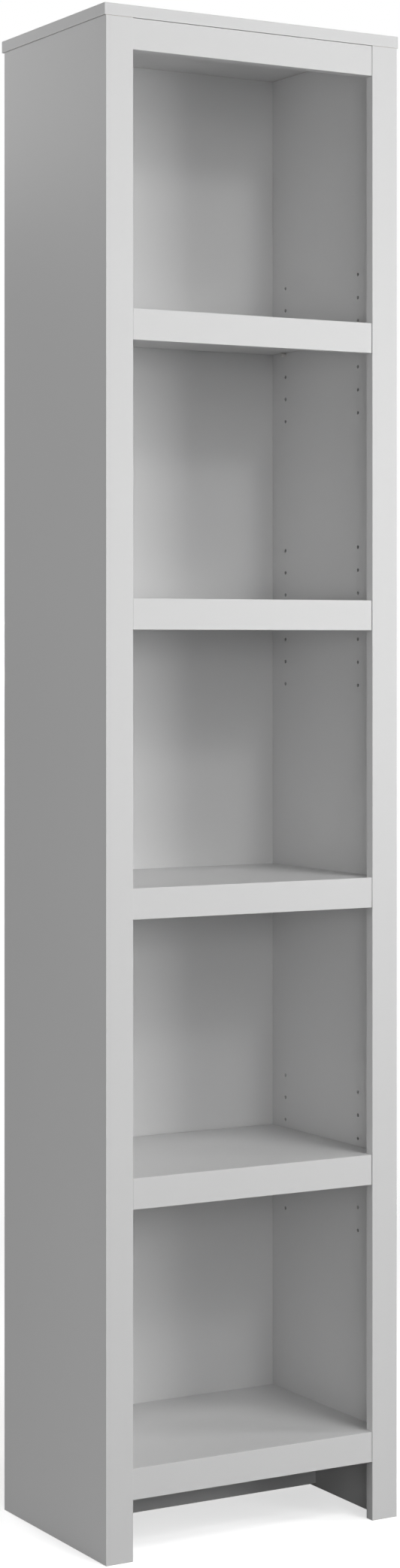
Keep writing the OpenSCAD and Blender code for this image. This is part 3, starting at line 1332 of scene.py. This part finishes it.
@dataclass
class Case:
    """The fixed case: top panel, sides, face frame, two locked shelves, toe board and back panel."""

    shop: Workshop
    top_arris: float = 0.7 * MM
    rail_arris: float = 0.5 * MM
    back_arris: float = 0.25 * MM
    cam_room: float = 0.2 * MM
    bolt_hole: float = 8.0 * MM
    bolt_reach: float = 34.0 * MM
    thread_hole: float = 5.0 * MM
    thread_depth: float = 11.0 * MM
    pin_hole: float = 5.0 * MM
    pin_hole_depth: float = 12.0 * MM
    pin_pitch: float = 32.0 * MM
    pin_rows: int = 7

    def _board(self, node: str, **options: Any) -> None:
        """Makes one board of the case."""
        self.shop.board(node, "case", **options)

    def _bolt_holes(self, side: Side, in_panel: bool) -> list[Hole]:
        """Gives the cam bolts' holes.

        Args:
            side: The side that the bolts stand in.
            in_panel: True for the thread holes in the panel, False for the shanks' holes in the shelves.

        Returns:
            The holes.
        """
        wall = inner_wall(side)
        into = side.value if in_panel else -side.value
        depth = self.thread_depth if in_panel else self.bolt_reach
        diameter = self.thread_hole if in_panel else self.bolt_hole
        bolts = on_side(solid_boxes("cam_bolts"), side)
        mouths = [Vector((wall, box.centre.y, box.centre.z)) for box in bolts]
        return [blind_hole(mouth, Vector((into, 0, 0)), Axis.X, diameter, depth) for mouth in mouths]

    def _pin_holes(self, side: Side) -> list[Hole]:
        """Gives the rows of pin holes in a side panel, above and below each pin's own.

        Args:
            side: The side that the panel is on.

        Returns:
            The holes.
        """
        into = Vector((side.value, 0, 0))
        wall = inner_wall(side)
        reach = self.pin_rows // 2
        holes = []
        for name in SHELF_NAMES:
            for box in solid_boxes(f"{name}_pins_{side.word}"):
                for step in range(-reach, reach + 1):
                    mouth = Vector((wall, box.centre.y, box.centre.z + step * self.pin_pitch))
                    holes.append(blind_hole(mouth, into, Axis.X, self.pin_hole, self.pin_hole_depth))
        return holes

    def top(self) -> None:
        """Makes the top panel."""
        self._board(
            "top_panel",
            arris=self.top_arris,
            tight=tuple((face, Face.BOTTOM) for face in (Face.FRONT, Face.LEFT, Face.RIGHT)),
            holes=self.shop.fittings.dowel_holes("top_dowels"),
        )

    def side(self, side: Side) -> None:
        """Makes a side panel, with its rows of pin holes.

        Args:
            side: Which side panel.
        """
        nodes = ("top_dowels", "stile_dowels", "fixed_shelf_dowels", "toe_board_dowels")
        holes = self._bolt_holes(side, True) + on_side(self.shop.fittings.dowel_holes(*nodes), side)
        self._board(
            "side_panel_" + side.word,
            raw=(Face.BOTTOM, Face.TOP),
            tight=((side.outer, Face.FRONT), (side.outer, Face.TOP)),
            holes=holes,
            painted_holes=self._pin_holes(side),
            # The pin holes are lined with the darker paint, which paints shade into them.
            hole_finish=self.shop.palette.thin_paint,
        )

    def stile(self, side: Side) -> None:
        """Makes a stile of the face frame.

        Args:
            side: Which stile.
        """
        self._board(
            "stile_" + side.word,
            raw=(Face.BOTTOM, Face.TOP),
            tight=((side.outer, Face.REAR), (side.outer, Face.TOP)),
            holes=on_side(self.shop.fittings.dowel_holes("stile_dowels", "frame_rail_dowels"), side),
        )

    def frame_rails(self) -> None:
        """Makes the top rail, the bottom rail and the rail of the fixed shelf."""
        dowels = self.shop.fittings.dowel_holes("frame_rail_dowels")
        noses = self.shop.fittings.dowel_holes("case_nose_dowels")
        for node, ends in (("top_rail", True), ("bottom_rail", True), ("fixed_shelf_rail", False)):
            box = node_box(node)
            holes = within(box, (dowels if ends else []) + noses)
            self._board(
                node,
                arris=self.rail_arris,
                raw=(Face.LEFT, Face.RIGHT),
                tight=((Face.TOP, Face.REAR),),
                holes=holes,
            )

    def locked_shelf(self, node: str) -> None:
        """Makes a shelf that is dowelled and cam-locked between the sides.

        Args:
            node: The frame node of the shelf.
        """
        box = node_box(node)
        holes = self._bolt_holes(Side.LEFT, False) + self._bolt_holes(Side.RIGHT, False)
        holes += self.shop.fittings.dowel_holes("fixed_shelf_dowels", "case_nose_dowels")
        for lock in solid_boxes("cam_locks"):
            mouth = Vector((lock.centre.x, lock.centre.y, lock.low.z))
            diameter = lock.size.x + 2 * self.cam_room
            depth = lock.size.z + self.cam_room
            holes.append(blind_hole(mouth, Vector((0, 0, 1)), Axis.Z, diameter, depth))
        self._board(
            node,
            arris=self.rail_arris,
            raw=(Face.LEFT, Face.RIGHT),
            tight=((Face.TOP, Face.FRONT),),
            holes=within(box, holes),
        )

    def toe_board(self) -> None:
        """Makes the board that closes the toe space."""
        holes = self.shop.fittings.dowel_holes("toe_board_dowels")
        self._board("toe_board", raw=(Face.LEFT, Face.RIGHT, Face.BOTTOM), holes=holes)

    def back_panel(self) -> None:
        """Makes the hardboard back, painted on the side that faces the shelves."""
        self._board(
            "back_panel",
            arris=self.back_arris,
            raw=(Face.REAR, Face.LEFT, Face.RIGHT, Face.TOP, Face.BOTTOM),
            raw_finish=self.shop.palette.hardboard,
            slot=Slot.HARDBOARD,
        )

    def joinery(self) -> None:
        """Makes the dowels, cam fittings and nails, and dresses the cam locks."""
        for joint in ("top", "stile", "frame_rail", "fixed_shelf", "toe_board", "case_nose"):
            self.shop.fittings.dowels(joint + "_dowels", "case")
        self.shop.fittings.cam_bolts("cam_bolts")
        self.shop.fittings.nails("back_nails")
        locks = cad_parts["cam_locks"]
        for slot in locks.material_slots:
            slot.material = self.shop.palette.die_cast
        log.info("%s: die-cast finish", locks.name)

    def build(self) -> None:
        """Builds the whole case."""
        self.top()
        for side in Side:
            self.side(side)
            self.stile(side)
        self.frame_rails()
        self.locked_shelf("bottom_shelf")
        self.locked_shelf("fixed_shelf")
        self.toe_board()
        self.back_panel()
        self.joinery()


@dataclass
class AdjustableShelf:
    """A shelf with its front rail, on four pins."""

    name: str
    shop: Workshop
    arris: float = 0.5 * MM

    def build(self) -> None:
        """Builds the shelf, its rail, its dowels and its pins."""
        body = self.name + "_shelf"
        dowels = self.name + "_nose_dowels"
        fittings = self.shop.fittings
        for node, joint in ((body, Face.FRONT), (body + "_rail", Face.REAR)):
            holes = fittings.dowel_holes(dowels)
            self.shop.board(node, body, arris=self.arris, tight=((Face.TOP, joint),), holes=holes)
        fittings.dowels(dowels, body)
        for side in Side:
            fittings.pins(f"{self.name}_pins_{side.word}", side)


# ---------------------------------------------------------------- the studio


@dataclass(frozen=True)
class Softbox:
    """A square soft lamp that faces a height on the middle line of the bookcase.

    Its angles are as seen from there, in degrees: azimuth 0 is in front and 90 to the right. Its spread
    is how wide its beam is, in degrees.
    """

    name: str
    azimuth: float
    elevation: float
    distance: float
    width: float
    watts: float
    faces: float = 1.0
    spread: float = 180.0

    def hang(self) -> None:
        """Hangs the lamp, hidden from the camera."""
        turn, rise = math.radians(self.azimuth), math.radians(self.elevation)
        away = Vector((math.sin(turn) * math.cos(rise), -math.cos(turn) * math.cos(rise), math.sin(rise)))
        lamp = bpy.data.lights.new(self.name, "AREA")
        lamp.size = self.width
        lamp.energy = self.watts
        lamp.spread = math.radians(self.spread)
        made = bpy.data.objects.new(self.name, lamp)
        made.location = Vector((0.0, 0.0, self.faces)) + away * self.distance
        made.rotation_euler = (-away).to_track_quat("-Z", "Y").to_euler()
        made.visible_camera = False
        bpy.context.scene.collection.objects.link(made)


@dataclass
class Studio:
    """The floor, the lamps, the white surroundings and the camera."""

    lamps: tuple[Softbox, ...] = (
        Softbox("key_right", 60, 5, 3.6, 0.9, 40.1),
        Softbox("key_front_right", 30, 5, 3.6, 0.9, 21.9),
        Softbox("front_right_high", 30, 22, 3.6, 0.9, 6.8),
        Softbox("front_head_high", 0, 5, 3.6, 0.9, 7.7, 2.2),
        Softbox("front_high", 5, 29, 4.12, 0.5, 15.8, 1.2),
        Softbox("front_left", -20, 5, 3.6, 0.9, 12.0),
        Softbox("front_left_high", -20, 40, 3.6, 0.9, 2.8),
        Softbox("left", -60, 5, 3.6, 0.9, 7.2),
        Softbox("rear_left_near", -150, 26.6, 1.34, 0.5, 1.5, 1.6),
        Softbox("far_front", -20, 8, 8.0, 1.6, 31.0),
        Softbox("far_top", 15, 50, 8.0, 1.6, 137.0),
        Softbox("far_left", -90, 8, 8.0, 2.0, 159.0),
        Softbox("rear", 180, 0, 3.6, 0.4, 9.0, 1.15, 75.0),
        Softbox("rear_top", 180, 62, 3.6, 0.4, 2.6, 2.03, 40.0),
    )
    floor_radius: float = 3.0
    floor_facets: int = 96
    fade_from: float = 0.3
    fade_to: float = 0.98
    floor_colour: Colour = (0.85, 0.85, 0.85, 1.0)
    floor_glow: float = 0.6
    floor_bounce: Colour = (0.26, 0.26, 0.26, 1.0)
    ambient: float = 0.02
    eye: tuple[float, float, float] = (-2.0840, -3.6208, 1.1965)
    yaw: float = math.radians(-29.94)
    lens: float = 69.62
    sensor: float = 36.0
    rise: float = -0.0891

    def floor(self) -> None:
        """Lays a round pale floor that fades out into the white surroundings and is clear from below."""
        mesh = bmesh.new()
        bmesh.ops.create_circle(mesh, cap_ends=True, segments=self.floor_facets, radius=self.floor_radius)
        data = mesh_data("studio_floor", mesh)
        surface = Surface("studio_floor")
        reach = surface.node("ShaderNodeVectorMath", {"operation": "LENGTH"}, {0: surface.place})
        fade = surface.node(
            "ShaderNodeMapRange",
            {"interpolation_type": "SMOOTHSTEP"},
            {
                0: reach.outputs["Value"],
                1: self.floor_radius * self.fade_from,
                2: self.floor_radius * self.fade_to,
            },
        )
        shown = surface.node(
            "ShaderNodeAddShader",
            inputs={
                0: surface.node("ShaderNodeBsdfDiffuse", inputs={"Color": self.floor_colour}).outputs[0],
                1: surface.node("ShaderNodeEmission", inputs={"Strength": self.floor_glow}).outputs[0],
            },
        )
        bounced = surface.node("ShaderNodeBsdfDiffuse", inputs={"Color": self.floor_bounce})
        seen = surface.node("ShaderNodeLightPath").outputs["Is Camera Ray"]
        near = surface.node(
            "ShaderNodeMixShader", inputs={0: seen, 1: bounced.outputs[0], 2: shown.outputs[0]}
        )
        far = surface.node("ShaderNodeBsdfTransparent")
        under = surface.signal(surface.node("ShaderNodeNewGeometry"), "Backfacing")
        clear = under.math("MAXIMUM", surface.signal(fade), under)
        mixed = surface.node("ShaderNodeMixShader", inputs={0: clear, 1: near.outputs[0], 2: far.outputs[0]})
        surface.node("ShaderNodeOutputMaterial", inputs={"Surface": mixed.outputs[0]})
        data.materials.append(surface.material)
        new_object("studio_floor", data)

    def surroundings(self) -> None:
        """Makes the surroundings white to look at and dim as a light."""
        world = bpy.data.worlds.new("surroundings")
        world.use_nodes = True
        bpy.context.scene.world = world
        graph = Graph(world.node_tree)
        world.node_tree.nodes.clear()
        seen = graph.signal(graph.node("ShaderNodeLightPath"), "Is Camera Ray")
        strength = seen * (1.0 - self.ambient) + self.ambient
        white = (1.0, 1.0, 1.0, 1.0)
        sky = graph.node("ShaderNodeBackground", inputs={"Color": white, "Strength": strength})
        graph.node("ShaderNodeOutputWorld", inputs={"Surface": sky.outputs[0]})

    def camera(self) -> None:
        """Sets up the camera."""
        data = bpy.data.cameras.new("camera")
        data.lens = self.lens
        data.sensor_width = self.sensor
        data.shift_y = self.rise
        made = bpy.data.objects.new("camera", data)
        made.location = self.eye
        made.rotation_euler = (math.pi / 2, 0.0, self.yaw)
        bpy.context.scene.collection.objects.link(made)
        bpy.context.scene.camera = made

    def build(self) -> None:
        """Sets up the whole studio."""
        self.floor()
        self.surroundings()
        for lamp in self.lamps:
            lamp.hang()
        self.camera()
        bpy.context.scene.view_settings.view_transform = "Standard"


def main() -> None:
    logging.basicConfig(level=logging.INFO, format="%(message)s")
    shop = Workshop()
    Case(shop).build()
    for name in SHELF_NAMES:
        AdjustableShelf(name, shop).build()
    Studio().build()


if __name__ == "__main__":
    main()
